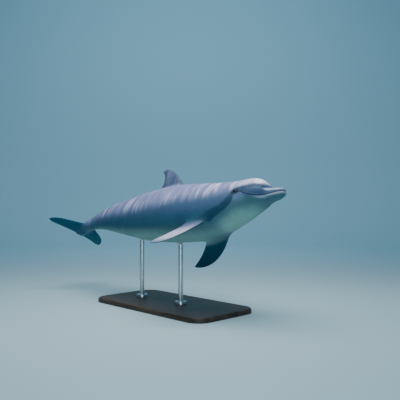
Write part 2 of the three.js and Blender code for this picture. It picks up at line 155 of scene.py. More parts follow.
def pressed(distance, form):
    """A round swelling or groove, from its height, distance and half width in millimetres."""
    height, off, width = form
    return height * MM * hump(distance - off * MM, width * MM)


def unit(vectors):
    return vectors / np.linalg.norm(vectors, axis=-1, keepdims=True)


def curve_through(xs, ys):
    """A smooth curve through the pairs that doesn't overshoot them."""
    xs, ys = np.asarray(xs, float), np.asarray(ys, float)
    slopes = np.diff(ys) / np.diff(xs)
    tangents = np.concatenate([slopes[:1], np.zeros(len(xs) - 2), slopes[-1:]])
    for i in range(1, len(xs) - 1):
        before, after = slopes[i - 1], slopes[i]
        if before * after > 0:
            tangents[i] = 2 * before * after / (before + after)

    def value(x):
        i = np.clip(np.searchsorted(xs, x) - 1, 0, len(xs) - 2)
        width = xs[i + 1] - xs[i]
        t = np.clip((x - xs[i]) / width, 0, 1)
        rise = t * t * (3 - 2 * t)
        start = t * (1 - t) ** 2 * width * tangents[i]
        end = t * t * (t - 1) * width * tangents[i + 1]
        return ys[i] * (1 - rise) + ys[i + 1] * rise + start + end

    return value


def along(rows, x, column=1):
    """A smooth curve's value at x, from a table with x in its first column."""
    return curve_through([row[0] for row in rows], [row[column] for row in rows])(x)


def bezier(points, t):
    points = [np.asarray(p, float) for p in points]
    t = np.asarray(t, float)[..., None]
    while len(points) > 1:
        points = [a * (1 - t) + b * t for a, b in zip(points, points[1:])]
    return points[0]


def new_object(name, data):
    made = bpy.data.objects.new(name, data)
    bpy.context.scene.collection.objects.link(made)
    return made


def mesh_object(name, points, faces):
    mesh = bpy.data.meshes.new(name)
    mesh.from_pydata(np.asarray(points).reshape(-1, 3).tolist(), [], faces)
    return new_object(name, mesh)


def closed_mesh(name, points, faces):
    """An object whose faces are turned outwards."""
    made = mesh_object(name, points, faces)
    mesh = bmesh.new()
    mesh.from_mesh(made.data)
    if mesh.calc_volume(signed=True) < 0:
        bmesh.ops.reverse_faces(mesh, faces=mesh.faces)
    mesh.to_mesh(made.data)
    mesh.free()
    return made


def read(items, key, width, kind=float):
    values = np.empty(len(items) * width, kind)
    items.foreach_get(key, values)
    return values.reshape(-1, width)


def points_of(thing):
    return read(thing.data.vertices, "co", 3)


def store(thing, name, kind, values):
    stored = thing.data.attributes.new(name, f"FLOAT_{kind}", "POINT")
    stored.data.foreach_set(kind.lower(), values.ravel())


def shade_smooth(thing):
    thing.data.polygons.foreach_set("use_smooth", [True] * len(thing.data.polygons))


def spread(*bands):
    """Even steps through each band of from, to and how many."""
    return np.concatenate([np.linspace(*band, endpoint=False) for band in bands])


def circle(count):
    angles = spread((0, 2 * pi, count))
    return np.cos(angles), np.sin(angles)


def level_ring(x, y, height):
    return np.column_stack([x, y, np.full(len(x), height)])


def ring_faces(rings, around, first=0):
    """Faces of a tube of closed rings."""
    faces = []
    for r in range(rings - 1):
        low = first + r * around
        for i in range(around):
            j = (i + 1) % around
            faces.append((low + i, low + j, low + around + j, low + around + i))
    return faces


def closed_tube(name, rings):
    """A closed mesh over a (rings, around, 3) array of points, with a fan at each end."""
    count, around = rings.shape[:2]
    faces = ring_faces(count, around)
    points = np.concatenate([rings.reshape(-1, 3), rings[:1].mean(1), rings[-1:].mean(1)])
    start, last = count * around, (count - 1) * around
    for i in range(around):
        j = (i + 1) % around
        faces += [(start, j, i), (start + 1, last + i, last + j)]
    return closed_mesh(name, points, faces)


def tree_of(thing):
    mesh = bmesh.new()
    mesh.from_mesh(thing.data)
    tree = BVHTree.FromBMesh(mesh)
    mesh.free()
    return tree


# ---- the spine and the body's surface

# The sections follow the square root of the place, which rounds the tip of the snout.
_roots = [sqrt(row[0]) for row in SECTIONS]
_columns = [curve_through(_roots, [row[k] for row in SECTIONS]) for k in range(1, 6)]


def section(at):
    """Back, belly, half width, narrowing and keel at a place."""
    root = np.sqrt(np.maximum(at, 0))
    return [column(root) for column in _columns]


SPINE_STEPS = 1000
PLACE_ROUNDS = 12


def walk_spine():
    at = np.linspace(0, 1, SPINE_STEPS + 1)
    up, left = np.radians(along(BENDS, at)), np.radians(along(BENDS, at, 2))
    ahead = np.stack([np.cos(left) * np.cos(up), np.sin(left) * np.cos(up), np.sin(up)], 1)
    top = np.stack([-np.cos(left) * np.sin(up), -np.sin(left) * np.sin(up), np.cos(up)], 1)
    steps = -(ahead[1:] + ahead[:-1]) * LENGTH / SPINE_STEPS / 2
    points = np.concatenate([np.zeros((1, 3)), np.cumsum(steps, 0)])
    points -= points[round(MID_AT * SPINE_STEPS)]
    return points, ahead, np.cross(top, ahead), top


SPINE = walk_spine()


def spine_at(at):
    """Position and the directions ahead, left and up, also a little past the ends."""
    x = np.asarray(at, float) * SPINE_STEPS
    i = np.clip(np.floor(x).astype(int), 0, SPINE_STEPS - 1)
    t = (x - i)[..., None]
    return [key[i] * (1 - t) + key[i + 1] * t for key in SPINE]


def beside_spine(at, left, up):
    position, _, leftwards, upwards = spine_at(at)
    return position + leftwards * np.asarray(left)[..., None] + upwards * np.asarray(up)[..., None]


def mid_height(back, belly):
    """Where a section is widest, over the spine."""
    return back * MID_LINE - belly * (1 - MID_LINE)


def skin_offsets(at, angle):
    """The skin's place left of the spine and over it: 0 is the left side, 90 degrees the back."""
    c, s = np.cos(angle), np.sin(angle)
    low, high = CREASE_REACH
    in_reach = np.sin(np.pi * np.clip((at - low) / (high - low), 0, 1))
    back, belly, half, narrow, keel = section(at)
    swept_back = section(at - CREASE_SWEEP * c * c * in_reach)[0]
    middle = mid_height(back, belly)
    reach = np.where(s > 0, swept_back - middle, belly + middle)
    lift = np.sign(s) * np.abs(s) ** keel
    narrowed = 1 - narrow * np.maximum(0, s) ** NARROWING_POWER
    return half * c * narrowed * PERCENT, (middle + reach * lift) * PERCENT


def skin_half_width(at, up):
    """How far out the skin is at a height, in percent of the length."""
    back, belly, half, narrow, _ = section(np.asarray(at, float))
    middle = mid_height(back, belly)
    s = (up - middle) / np.where(up > middle, back - middle, belly + middle)
    return half * np.sqrt(1 - s * s) * (1 - narrow * np.maximum(0, s) ** NARROWING_POWER)


def body_place(points):
    """The reverse of beside_spine: at, left and up of points."""
    at = MID_AT - points[:, 0] / LENGTH
    for _ in range(PLACE_ROUNDS):
        position, ahead, _, _ = spine_at(at)
        at = at - np.einsum("ij,ij->i", points - position, ahead) / LENGTH
    position, _, leftwards, upwards = spine_at(at)
    away = points - position
    return at, np.einsum("ij,ij->i", away, leftwards), np.einsum("ij,ij->i", away, upwards)


TILT = Matrix.Rotation(-PITCH, 4, "Y") @ Matrix.Rotation(-ROLL, 4, "X")
TO_STAND = Matrix.Translation((0, 0, MID_HEIGHT)) @ TILT

# ---- the body's mesh

COLUMN_BANDS = [  # from, to and how many, in degrees round the body from its left side
    (-90, -84, 12), (-84, -40, 36), (-40, 4, 100), (4, 17, 52), (17, 80, 52), (80, 100, 40),
    (100, 163, 52), (163, 176, 52), (176, 220, 100), (220, 264, 36), (264, 270, 12),
]
RING_BANDS = [  # from, to and how many
    (0.012, 0.1305, 184), (0.1305, 0.1435, 82), (0.1435, 0.1485, 16), (0.1485, 0.185, 45),
    (0.185, 0.965, 300),
]
SNOUT_RINGS = 26
SNOUT_STARTS_AT = 0.0002
TAIL_RINGS = 14
NECK_AT = 0.185  # behind it every second column ends
ROUNDS_AT = 0.965

# What is pressed into the skin: height, distance and half width in mm, with grooves below zero.
MOUTH_GROOVE = (-4.5, 0, 1.4)
LIPS = (1.1, 5.5, 2.6)
UPPER_LIP = (0.7, 2, 5)
MOUTH_CORNER = (-2, 0, 4.5)
CORNER_FOLD = (1.4, 11, 4)
MELON_CREASE = (-2.2, 0, 4)
BLOWHOLE_SLIT = (-5.5, 0, 1.3)
BLOWHOLE_RIM = (1.2, 5, 2.5)
BLOWHOLE_MOUND = (2, 0, 14)
EAR_HOLE = (-1.6, 0, 1.6)
EAR_RIM = (0.5, 4, 1.5)
NAVEL = (-2, 0, 4)
SLIT = (-3.5, 0, 3.2)
SLIT_MOUND = (1.2, 0, 14)
VENT = (-3, 0, 3.5)
EYE_BROW = (1.6, 7.5, 3.5)
LID_FOLD = (-1, 3.6, 0.8)
UPPER_FOLD = (-0.7, 8.4, 1)
LOWER_FOLD = (-0.6, 11.5, 1.2)

# Spans, of which those that run backwards fade out.
MOUTH_ENDS = (11.9, 11)  # percent behind the snout
LIPS_END = (11.5, 8)
MOUTH_STEP = 0.1
CORNER_FOLD_HEIGHT = (2 * MM, 11 * MM)  # under the mouth's corner, and half height
CREASE_PLACE = (0.0435, 0.0155)  # on top, and how much further back at the sides
CREASE_SPAN = (-0.02, 0.22)  # sine of the angle
JAW_SPAN = (0, 0.4)
LID_HALF_LENGTH = 12.5 * MM
LID_HALF_HEIGHT = 7 * MM
LID_CORNERS = 2 * MM  # how far they are rounded
LID_TILT = radians(6)
LID_THICKNESS = 1.3 * MM
LIDS_END = (12 * MM, 0.5 * MM)  # from the opening
LID_DEPTH = 2.2 * MM  # the most that they move inwards
FOLDS_END = (18.75 * MM, 11.25 * MM)  # from the eye's middle
BALL_SHARE = 0.98  # of the eyeball's radius that the lids follow
OPENING = (0, -1.7 * MM)
BEHIND_EYE = 5 * MM  # how deep the skin runs behind its front
EYE_REGION = (45 * MM, 0.55)  # along the body, and sine of the angle
BLOWHOLE_ARC = (15 * MM, radians(72), 9 * MM)  # radius, reach to each side, and its centre's lead
ON_TOP = 0.5  # sine of the angle
UNDERNEATH = -0.9
EAR = (0.163, 0.35)  # at, and percent over the spine
NAVEL_AT = (0.475, 3)  # at, and how much longer than wide
VENT_AT = (0.655, 1.6)
SLIT_AT = (0.6, 0.635)


def ring_places():
    tip = spread((sqrt(SNOUT_STARTS_AT), sqrt(RING_BANDS[0][0]), SNOUT_RINGS)) ** 2
    turns = spread((0, pi / 2, TAIL_RINGS))
    tail = ROUNDS_AT + (TAIL_TIP_AT - ROUNDS_AT) * np.sin(turns)
    return np.concatenate([tip, spread(*RING_BANDS), tail])


def bare_body(at, angle):
    """Left, up and points of the surface before anything is pressed in."""
    below = smoothstep(-np.sin(angle), *JAW_SPAN)
    left, up = skin_offsets(at, angle)
    past = np.clip((at - ROUNDS_AT) / (TAIL_TIP_AT - ROUNDS_AT), 0, 1)
    shrink = np.sqrt(1 - past**2)
    middle = mid_height(*section(at)[:2]) * PERCENT
    left, up = left * shrink, middle + (up - middle) * shrink
    lead = JAW_LEAD * below * np.exp(-at / JAW_LEAD_FADES)
    return left, up, beside_spine(at - lead, left, up)


def almond(x, z):
    """Distance to the outline of the open lids, negative inside it."""
    radius = (LID_HALF_LENGTH**2 + LID_HALF_HEIGHT**2) / (2 * LID_HALF_HEIGHT)
    offset = radius - LID_HALF_HEIGHT
    upper = np.hypot(x, z + offset) - radius
    lower = np.hypot(x, z - offset) - radius
    blend = np.clip(0.5 + (upper - lower) / (2 * LID_CORNERS), 0, 1)
    return lower * (1 - blend) + upper * blend + LID_CORNERS * blend * (1 - blend)


def blowhole_distance(at, left):
    """From the blowhole's slit, an arc whose ends point forwards."""
    radius, reach, lead = BLOWHOLE_ARC
    ahead = (BLOWHOLE_AT - at) * LENGTH - lead
    turn = np.arctan2(np.abs(left), -ahead)
    ends = np.hypot(ahead + radius * cos(reach), np.abs(left) - radius * sin(reach))
    return np.where(turn < reach, np.abs(np.hypot(ahead, left) - radius), ends)


def eye_centre():
    """How far the eyeball's centre is from the spine's own plane."""
    return skin_half_width(EYE_AT, EYE_HEIGHT) * PERCENT + EYE_PROUD - EYE_RADIUS


def lids(at, left, up):
    """How far the skin moves out round the eyes."""
    x, z = (EYE_AT - at) * LENGTH, up - EYE_HEIGHT * PERCENT
    c, s = cos(LID_TILT), sin(LID_TILT)
    x, z = x * c - z * s, x * s + z * c
    distance = almond(x, z)
    r2 = np.minimum(x * x + z * z, (EYE_RADIUS * BALL_SHARE) ** 2)
    ball = eye_centre() + np.sqrt(EYE_RADIUS**2 - r2)
    out = np.abs(left)
    over_ball = np.maximum(ball + LID_THICKNESS, out - LID_DEPTH) - out
    move = over_ball * smoothstep(distance, *LIDS_END) + pressed(distance, EYE_BROW)
    fold = smoothstep(np.abs(x), *FOLDS_END)
    move += pressed(distance, LID_FOLD) * fold
    move += pressed(distance, UPPER_FOLD) * fold * (z > 0)
    move += pressed(distance, LOWER_FOLD) * fold * (z < 0)
    inside = smoothstep(distance, *OPENING)
    return move * (1 - inside) + (ball - BEHIND_EYE - out) * inside


def press_mouth(behind, up):
    before, after = along(MOUTH_LINE, behind - MOUTH_STEP), along(MOUTH_LINE, behind + MOUTH_STEP)
    slope = (after - before) / (2 * MOUTH_STEP)
    over = (up - along(MOUTH_LINE, behind) * PERCENT) / np.hypot(1, slope)
    closed = smoothstep(behind, *MOUTH_ENDS)
    move = pressed(over, MOUTH_GROOVE) * closed
    move += pressed(np.abs(over), LIPS) * smoothstep(behind, *LIPS_END)
    move += smoothstep(over, 0, UPPER_LIP[1] * MM) * pressed(over, UPPER_LIP) * closed
    back, rise = (behind - MOUTH_LINE[-1][0]) * PERCENT, up - MOUTH_LINE[-1][1] * PERCENT
    move += pressed(np.hypot(back, rise), MOUTH_CORNER)
    below, half_height = CORNER_FOLD_HEIGHT
    return move + pressed(back, CORNER_FOLD) * hump(rise + below, half_height)


def press_blowhole(at, left):
    arc = blowhole_distance(at, left)
    around = np.hypot((BLOWHOLE_AT - at) * LENGTH, left)
    return pressed(arc, BLOWHOLE_SLIT) + pressed(arc, BLOWHOLE_RIM) + pressed(around, BLOWHOLE_MOUND)


def press_belly(at, left):
    navel, vent = [np.hypot((at - mid) * LENGTH / stretch, left) for mid, stretch in (NAVEL_AT, VENT_AT)]
    slit = np.hypot(np.maximum(0, np.maximum(SLIT_AT[0] - at, at - SLIT_AT[1])) * LENGTH, left)
    return pressed(navel, NAVEL) + pressed(slit, SLIT) + pressed(slit, SLIT_MOUND) + pressed(vent, VENT)


def press_details(at, angle, left, up):
    """How far the bare skin moves along its normal."""
    s = np.sin(angle)
    crease = (at - CREASE_PLACE[0] - CREASE_PLACE[1] * np.cos(angle) ** 2) * LENGTH
    ear = np.hypot((at - EAR[0]) * LENGTH, up - EAR[1] * PERCENT)
    move = press_mouth(at * LENGTH / PERCENT, up)
    move += pressed(crease, MELON_CREASE) * smoothstep(s, *CREASE_SPAN)
    move += press_blowhole(at, left) * (s > ON_TOP)
    move += pressed(ear, EAR_HOLE) + pressed(ear, EAR_RIM)
    return move + press_belly(at, left) * (s < UNDERNEATH)


def grid_normals(points):
    along = np.gradient(points, axis=0)
    around = np.roll(points, -1, 1) - np.roll(points, 1, 1)
    return unit(np.cross(along, around))


def make_body():
    angles = np.radians(spread(*COLUMN_BANDS))
    at, angle = np.broadcast_arrays(ring_places()[:, None], angles[None, :])
    left, up, points = bare_body(at, angle)
    normals = grid_normals(points)
    centre = spine_at(at)[0]
    if np.einsum("ijk,ijk->", normals, points - centre) < 0:
        normals = -normals
    points = points + normals * press_details(at, angle, left, up)[..., None]
    along, around = EYE_REGION
    near_eye = (np.abs(at - EYE_AT) * LENGTH < along) & (np.abs(np.sin(angle)) < around)
    aside = np.sign(left) * lids(at, left, up) * near_eye
    points = points + spine_at(at)[2] * aside[..., None]
    neck = int(np.argmin(np.abs(at[:, 0] - NECK_AT)))
    return body_mesh(points[: neck + 1], points[neck + 1 :, ::2])


def body_mesh(head, rest):
    """A closed mesh of two tubes, the second with half as many columns as the first."""
    around, half = head.shape[1], rest.shape[1]
    start = head.shape[0] * around
    rim = start - around
    last = start + (len(rest) - 1) * half
    snout, tail = last + half, last + half + 1
    faces = ring_faces(len(head), around)
    for j in range(half):
        k = (j + 1) % half
        faces.append((rim + 2 * j, rim + 2 * j + 1, rim + (2 * j + 2) % around, start + k, start + j))
    faces += ring_faces(len(rest), half, start)
    faces += [(snout, (i + 1) % around, i) for i in range(around)]
    faces += [(tail, last + i, last + (i + 1) % half) for i in range(half)]
    points = [head.reshape(-1, 3), rest.reshape(-1, 3), head[:1].mean(1), rest[-1:].mean(1)]
    return closed_mesh("body", np.concatenate(points), faces)


# ---- fins

SPAN_STEPS = 90
SPAN_ENDS_AT = 0.997
CHORD_STEPS = 26


def foil(share):
    return np.sqrt(share) * (1 - share) ** FOIL_REAR_POWER


FOIL_PEAK = foil(FOIL_PEAK_AT)


def blade(name, form, to_space):
    """A fin from its two edges, placed by to_space(out, back, over)."""
    along = np.append(np.linspace(0, 1, SPAN_STEPS, endpoint=False), SPAN_ENDS_AT)[:, None]
    steps = np.arange(CHORD_STEPS + 1)
    steps = np.concatenate([steps, steps[:0:-1]])
    face = np.concatenate([np.ones(CHORD_STEPS + 1), -np.ones(CHORD_STEPS)])
    share = (1 - np.cos(np.pi * steps / CHORD_STEPS)) / 2
    taper = TIP_THICKNESS + (1 - TIP_THICKNESS) * (1 - along) ** TAPER_POWER
    thickness = form["thick"] * PERCENT * taper * (1 + ROOT_FLARE * np.exp(-along / FLARE_FADES))
    depth = thickness * (foil(share) / FOIL_PEAK + TRAILING_EDGE * share) / 2
    depth = np.maximum(depth, np.where(steps > 0, LEAST_THICKNESS / 2, 0))
    front = bezier(form["lead"], along[:, 0])[:, None]
    rear = bezier(form["trail"][::-1], along[:, 0])[:, None]
    flat = (front + (rear - front) * share[None, :, None]) * PERCENT
    return closed_tube(name, to_space(flat[..., 0], flat[..., 1], face * depth))


def dorsal_place(out, back, over):
    at = DORSAL["at"] + back / LENGTH
    return beside_spine(at, over, section(at)[0] * PERCENT + out)


def shifted(origin, *parts):
    return origin + sum(way * far[..., None] for way, far in parts)


def flipper_place(side):
    sweep, drop, twist = [radians(v) for v in FLIPPER_HOLD[side]]
    _, ahead, left, top = spine_at(FLIPPER["at"])
    outwards = -ahead * sin(sweep) * cos(drop) - top * sin(drop)
    outwards = outwards + left * side * cos(sweep) * cos(drop)
    flat = unit(-ahead + outwards * np.dot(ahead, outwards))
    rearwards = flat * cos(twist) + np.cross(outwards, flat) * side * sin(twist)
    normal = np.cross(outwards, rearwards)
    angle = radians(-FLIPPER["below"] if side > 0 else 180 + FLIPPER["below"])
    root_left, root_up = skin_offsets(np.array(FLIPPER["at"]), angle)
    root = beside_spine(FLIPPER["at"], root_left * FLIPPER_SUNK, root_up * FLIPPER_SUNK)

    return lambda out, back, over: shifted(root, (outwards, out), (rearwards, back), (normal, over))


def fluke_place(side):
    position, ahead, left, top = spine_at(FLUKE["at"])
    across = left * cos(FLUKE_ROLL) - top * sin(FLUKE_ROLL)
    upright = top * cos(FLUKE_ROLL) + left * sin(FLUKE_ROLL)
    rearwards = -ahead * cos(FLUKE_DOWN) - upright * sin(FLUKE_DOWN)
    above = np.cross(across, rearwards)
    reach = FLUKE["lead"][-1][0] * PERCENT

    def place(out, back, over):
        rise = over + FLUKE_CURL * PERCENT * (out / reach) ** 2
        return shifted(position, (across, side * out), (rearwards, back), (above, rise))

    return place


def make_fins():
    fins = {"dorsal": blade("dorsal", DORSAL, dorsal_place)}
    for kind, form, place_for in (("flipper", FLIPPER, flipper_place), ("fluke", FLUKE, fluke_place)):
        for side, which in SIDES:
            name = f"{kind}_{which}"
            fins[name] = blade(name, form, place_for(side))
    return fins


# ---- joining the fins to the body

FILLETS = {"dorsal": 45 * MM, "flipper": 50 * MM, "fluke": 60 * MM}
SMOOTHING_ROUNDS = 8
SMOOTHING_STEP = 0.5
SMOOTHED_SPAN = (0.1, 0.6)  # of the blend
ON_SURFACE = 0.02 * MM
NUDGE = 0.5 * MM  # steadies the direction of points that lie on the mesh
STEEPEST = 0.45  # least squared slope that the move is divided by


def join(body, fins):
    """One closed mesh of the body and the fins."""
    for fin in fins.values():
        both = body.modifiers.new("join", "BOOLEAN")
        both.operation = "UNION"
        both.solver = "MANIFOLD"
        both.object = fin
    depsgraph = bpy.context.evaluated_depsgraph_get()
    mesh = bpy.data.meshes.new_from_object(body.evaluated_get(depsgraph))
    return new_object("dolphin_skin", mesh)


def nearest(tree, points):
    """Distance and outward direction from a mesh to each point."""
    distance = np.empty(len(points))
    away = np.empty((len(points), 3))
    for i, point in enumerate(points):
        found, normal, _, far = tree.find_nearest(Vector(point))
        distance[i] = far
        away[i] = np.array(Vector(point) - found) + NUDGE * np.array(normal)
    return distance, unit(away)


def soften_joints(skin, body_tree, fins):
    """Blends the fins into the body by a smooth union. Returns each point's distance off it, by fin."""
    points = points_of(skin)
    moved = points.copy()
    blend = np.zeros(len(points))
    off_body = {}
    for name, fin in fins.items():
        reach = FILLETS[name.split("_")[0]]
        shape = points_of(fin)
        inside = (points > shape.min(0) - reach) & (points < shape.max(0) + reach)
        near = np.flatnonzero(inside.all(axis=1))
        fin_far, fin_away = nearest(tree_of(fin), points[near])
        body_far, body_away = nearest(body_tree, points[near])
        off_body[name] = np.zeros(len(points))
        off_body[name][near] = np.where(fin_far < ON_SURFACE, body_far, 0)
        share = np.clip(1 - np.maximum(fin_far, body_far) / reach, 0, 1)
        on_body = (body_far < fin_far)[:, None]
        own = np.where(on_body, body_away, fin_away)
        other = np.where(on_body, fin_away, body_away)
        slope = own * (1 - share / 2)[:, None] + other * (share / 2)[:, None]
        steep = np.maximum(np.einsum("ij,ij->i", slope, slope), STEEPEST)
        moved[near] += slope * (reach / 4 * share**2 / steep)[:, None]
        blend[near] = np.maximum(blend[near], share)
    moved = smoothed(skin, moved, smoothstep(blend, *SMOOTHED_SPAN))
    skin.data.vertices.foreach_set("co", moved.ravel())
    skin.data.update()
    return off_body


def smoothed(thing, points, weight):
    """Moves each point towards the middle of its neighbours, by its weight."""
    ends = read(thing.data.edges, "vertices", 2, int)
    ends = ends[(weight[ends[:, 0]] > 0) | (weight[ends[:, 1]] > 0)]
    own, other = np.concatenate([ends, ends[:, ::-1]]).T
    count = np.maximum(np.bincount(own, minlength=len(points)), 1)[:, None]
    for _ in range(SMOOTHING_ROUNDS):
        total = [np.bincount(own, points[other, axis], len(points)) for axis in range(3)]
        step = (np.stack(total, 1) / count - points) * weight[:, None] * SMOOTHING_STEP
        points = np.where(count > 1, points + step, points)
    return points


def make_skin():
    body, fins = make_body(), make_fins()
    skin = join(body, fins)
    off_body = soften_joints(skin, tree_of(body), fins)
    for spare in [body, *fins.values()]:
        bpy.data.objects.remove(spare)
    shade_smooth(skin)
    return skin, off_body


# ---- the skin's markings, painted light and painted shade

EDGES = {  # percent behind the snout and over the spine, alike on both sides
    "belly": [
        (0, -0.3), (5, -1.3), (9, -1.5), (11.6, -0.9), (13.4, -0.8), (14.3, -2.5), (16, -4.1),
        (18, -5.1), (20, -6.1), (22, -7.1), (26, -7.4), (31, -7.1), (38, -6.7), (48, -6.3),
        (58, -5.7), (67, -4.7), (76, -3.4), (86, -2.1), (94, -1.4),
    ],
    "white": [
        (0, -2.2), (8, -2.8), (13, -3.8), (18, -5.9), (22, -7.8), (26, -8.1), (31, -7.9),
        (38, -7.3), (48, -6.6), (58, -6), (67, -5), (76, -3.7), (94, -1.7),
    ],
    # stripe: the dark stripe from the eye to the flipper, a real marking that also carries painted shade
    "stripe": [
        (13, 1.3), (14.6, 0.4), (16, -1.2), (17, -2.2), (18, -2.9), (20, -3.6), (22, -4.4), (25, -5.6)
    ],
    # face: the top of the painted shade on the side of the head, under the melon's bulge; above it lies the
    # melon's painted top light
    "face": [(4.4, 1.9), (5, 2.2), (6.5, 2.4), (9, 2.25), (12, 2), (14, 1.75), (15, 1)],
    # back: above this edge the back gets its pale paint, which is painted top light
    "back": [
        (4, 3), (10, 2.6), (15, 1.9), (20, 1.1), (28, 0.6), (35, 0.8), (45, 0), (60, -0.4), (92, 0.3)
    ],
    # deep: below this edge the lower flank gets painted shade
    "deep": [(14, -4), (30, -3.4), (60, -2.4), (75, -1.2), (92, -0.6)],
}
OVALS = {  # the middle's place behind and over, the two half lengths, and the slant
    "cheek": (12.6, -1.3, 1.9, 1.3, 0),
    # a painted highlight on the melon
    "melon_highlight": (8, 4.7, 1.4, 2, 0.4),
    # the beak's top, painted pale as painted top light
    "beak_top_light": (2.4, 0.75, 3.1, 0.45, 0),
    # a spot of painted highlight on the beak, ahead of the melon's crease
    "beak_highlight": (4.5, 0.65, 0.9, 0.5, 0),
    "eye_patch": (13.4, 0.5, 1.5, 1, 0),
}
BELLY_SOFT = (0.25, 0.95, 22, 40)  # half width of its edge, ahead and behind, and where that changes
# How much the back's painted top light dims towards the tail, and from where to where.
BACK_LIGHT_DIMS = (0.35, 60, 90)
FACE_SHADE_PALES = (0.08, 0.6, 0.5, 1.8)  # how much paler the face's painted shade is at its top, how much more lower down, and where
PALES_AHEAD = (12, 9)
LIP_HIGHLIGHT_LINE = (-0.34, 0.2)  # the lower lip's painted highlight: over the mouth's line, and half width
# Half width of the painted shade in the mouth's groove.
GROOVE_WIDTH = 0.05
BLOWHOLE_INSIDE = (1.2 * MM, 2)  # the blowhole slit's painted shade: half width, and least percent over the spine

# The skin's paints, as linear red, green and blue.
# Paler than the flanks: the back's tone with painted top light.
LIT_BACK_PAINT = (0.2, 0.215, 0.39)
FLANK_PAINT = (0.056, 0.105, 0.19)
# Painted shade on the lower flank, a deeper teal than the flank.
LOW_FLANK_SHADE_PAINT = (0.042, 0.11, 0.17)
SIDE_PAINT = (0.072, 0.15, 0.185)
BELLY_PAINT = (0.25, 0.42, 0.375)
# The eye-to-flipper stripe: partly the real marking, partly painted shade.
STRIPE_AND_SHADE_PAINT = (0.017, 0.053, 0.086)
# Painted shade on the side of the head under the melon, and on the beak's side just over the mouth.
FACE_SHADE_PAINT = (0.012, 0.045, 0.085)
PATCH_PAINT = (0.003, 0.022, 0.036)
CHEEK_PAINT = (0.1, 0.16, 0.27)
# Pale paint on the beak's top and along the lower lip: painted top light and painted highlight.
LIP_AND_BEAK_LIGHT_PAINT = (0.4, 0.42, 0.53)
# Pale paint on the melon's top and a spot on the beak: painted top light.
MELON_LIGHT_PAINT = (0.5, 0.49, 0.62)
# Near white: a painted highlight on the melon.
MELON_HIGHLIGHT_PAINT = (0.95, 0.92, 0.98)
DORSAL_PAINT = (0.06, 0.09, 0.165)
# Pale paint on the flippers' upward faces: painted top light.
FLIPPER_TOP_LIGHT_PAINT = (0.52, 0.52, 0.65)
# A flipper's upward face near its root, lighter than its underside: painted top light.
FLIPPER_ROOT_PAINT = (0.1, 0.13, 0.22)
# Dark paint under the flippers: painted shade.
FLIPPER_UNDER_SHADE_PAINT = (0.008, 0.058, 0.092)
FLUKE_PAINT = (0.012, 0.1, 0.155)
# Near black: painted shade in the mouth's groove and the blowhole's slit.
CREASE_SHADE_PAINT = (0.012, 0.014, 0.018)
# Pale paint over the back: painted caustic light.
CAUSTIC_LIGHT_PAINT = (0.82, 0.8, 0.95)

# The markings, painted light and painted shade in the order of painting: paint, strength, and measures with
# the values between which they come in, or that are shares. An edge's measure is how far a point is below
# it.
IN_OVAL = (1.2, 0.45)
# Where the painted top light lies on the back.
LIT_BACK = [("back", 2.2, -2.6), ("back_light_dimmed",)]
BELLY = [("belly_softly", -1, 1), ("behind", 96, 88)]
STRIPE = [("stripe", -0.6, 0.7), ("belly", 0.15, -0.35), ("behind", 13, 14.4), ("behind", 30, 22)]
# Where the painted shade lies on the side of the head.
SHADED_FACE = [("face", -0.2, 0.25), ("mouth", -0.05, 0.25), ("behind", 4.6, 5.6), ("behind", 15.2, 13.9)]
MARKINGS = [
    # Painted shade on the lower flank.
    (LOW_FLANK_SHADE_PAINT, 1, [("deep", -2.2, 2.2)]),
    # Painted top light on the back.
    (LIT_BACK_PAINT, 1, LIT_BACK),
    (SIDE_PAINT, 1, BELLY),
    (BELLY_PAINT, 1, [*BELLY, ("white", -0.6, 2.2)]),
    (CHEEK_PAINT, 0.8, [("cheek", *IN_OVAL)]),
    # The eye-to-flipper stripe, partly painted shade.
    (STRIPE_AND_SHADE_PAINT, 0.9, STRIPE),
    # Painted top light on the melon, above the face's painted shade.
    (MELON_LIGHT_PAINT, 1, [("face", -0.2, -1.2), ("behind", 16, 12)]),
    # The painted highlight on the melon.
    (MELON_HIGHLIGHT_PAINT, 0.9, [("melon_highlight", *IN_OVAL)]),
    # Painted shade on the side of the head.
    (FACE_SHADE_PAINT, 1, [*SHADED_FACE, ("face_shade_kept",)]),
    # Painted shade on the beak's side just over the mouth, near the snout.
    (FACE_SHADE_PAINT, 0.6, [("mouth", 0.05, 0.3), ("behind", 5, 3.8), ("over", 1, 0.4)]),
    # Painted top light on the beak's top.
    (LIP_AND_BEAK_LIGHT_PAINT, 0.95, [("beak_top_light", *IN_OVAL)]),
    # A painted highlight on the beak.
    (MELON_LIGHT_PAINT, 0.7, [("beak_highlight", *IN_OVAL)]),
    (PATCH_PAINT, 0.95, [("eye_patch", *IN_OVAL)]),
    # A painted highlight along the lower lip.
    (LIP_AND_BEAK_LIGHT_PAINT, 0.95, [("lip_highlight",), ("behind", 9.5, 5)]),
    # Painted shade in the mouth's groove.
    (CREASE_SHADE_PAINT, 0.9, [("groove",), ("behind", 11.8, 11.2)]),
    # Painted shade in the blowhole's slit.
    (CREASE_SHADE_PAINT, 0.9, [("blowhole",)]),
]
# Where the painted caustic light falls: on the back's painted top light, behind the snout, fading towards
# the tail.
CAUSTIC_LIT_PARTS = [*LIT_BACK, ("behind", 5, 9), ("caustic_light_dimmed",)]
CAUSTIC_LIGHT_DIM = (0.5, 80, 95)
# How much of the painted caustic light the dorsal fin loses.
DORSAL_UNSTREAKED = 0.75

# Where the fins' paints come in: off the body, along a flipper and as its side turns up, which puts painted
# top light on a flipper's upper face and painted shade under it.
FIN_STARTS = (0, 55 * MM)
FLIPPER_LIGHT_STARTS = (40 * MM, 150 * MM)
FLIPPER_TIP = (0.78, 0.98)
TIP_DARKENS = 0.8
FACES_UP = (-0.15, 0.35)


def paint(base, colour, share):
    return base + (np.asarray(colour) - base) * np.clip(share, 0, 1)[:, None]


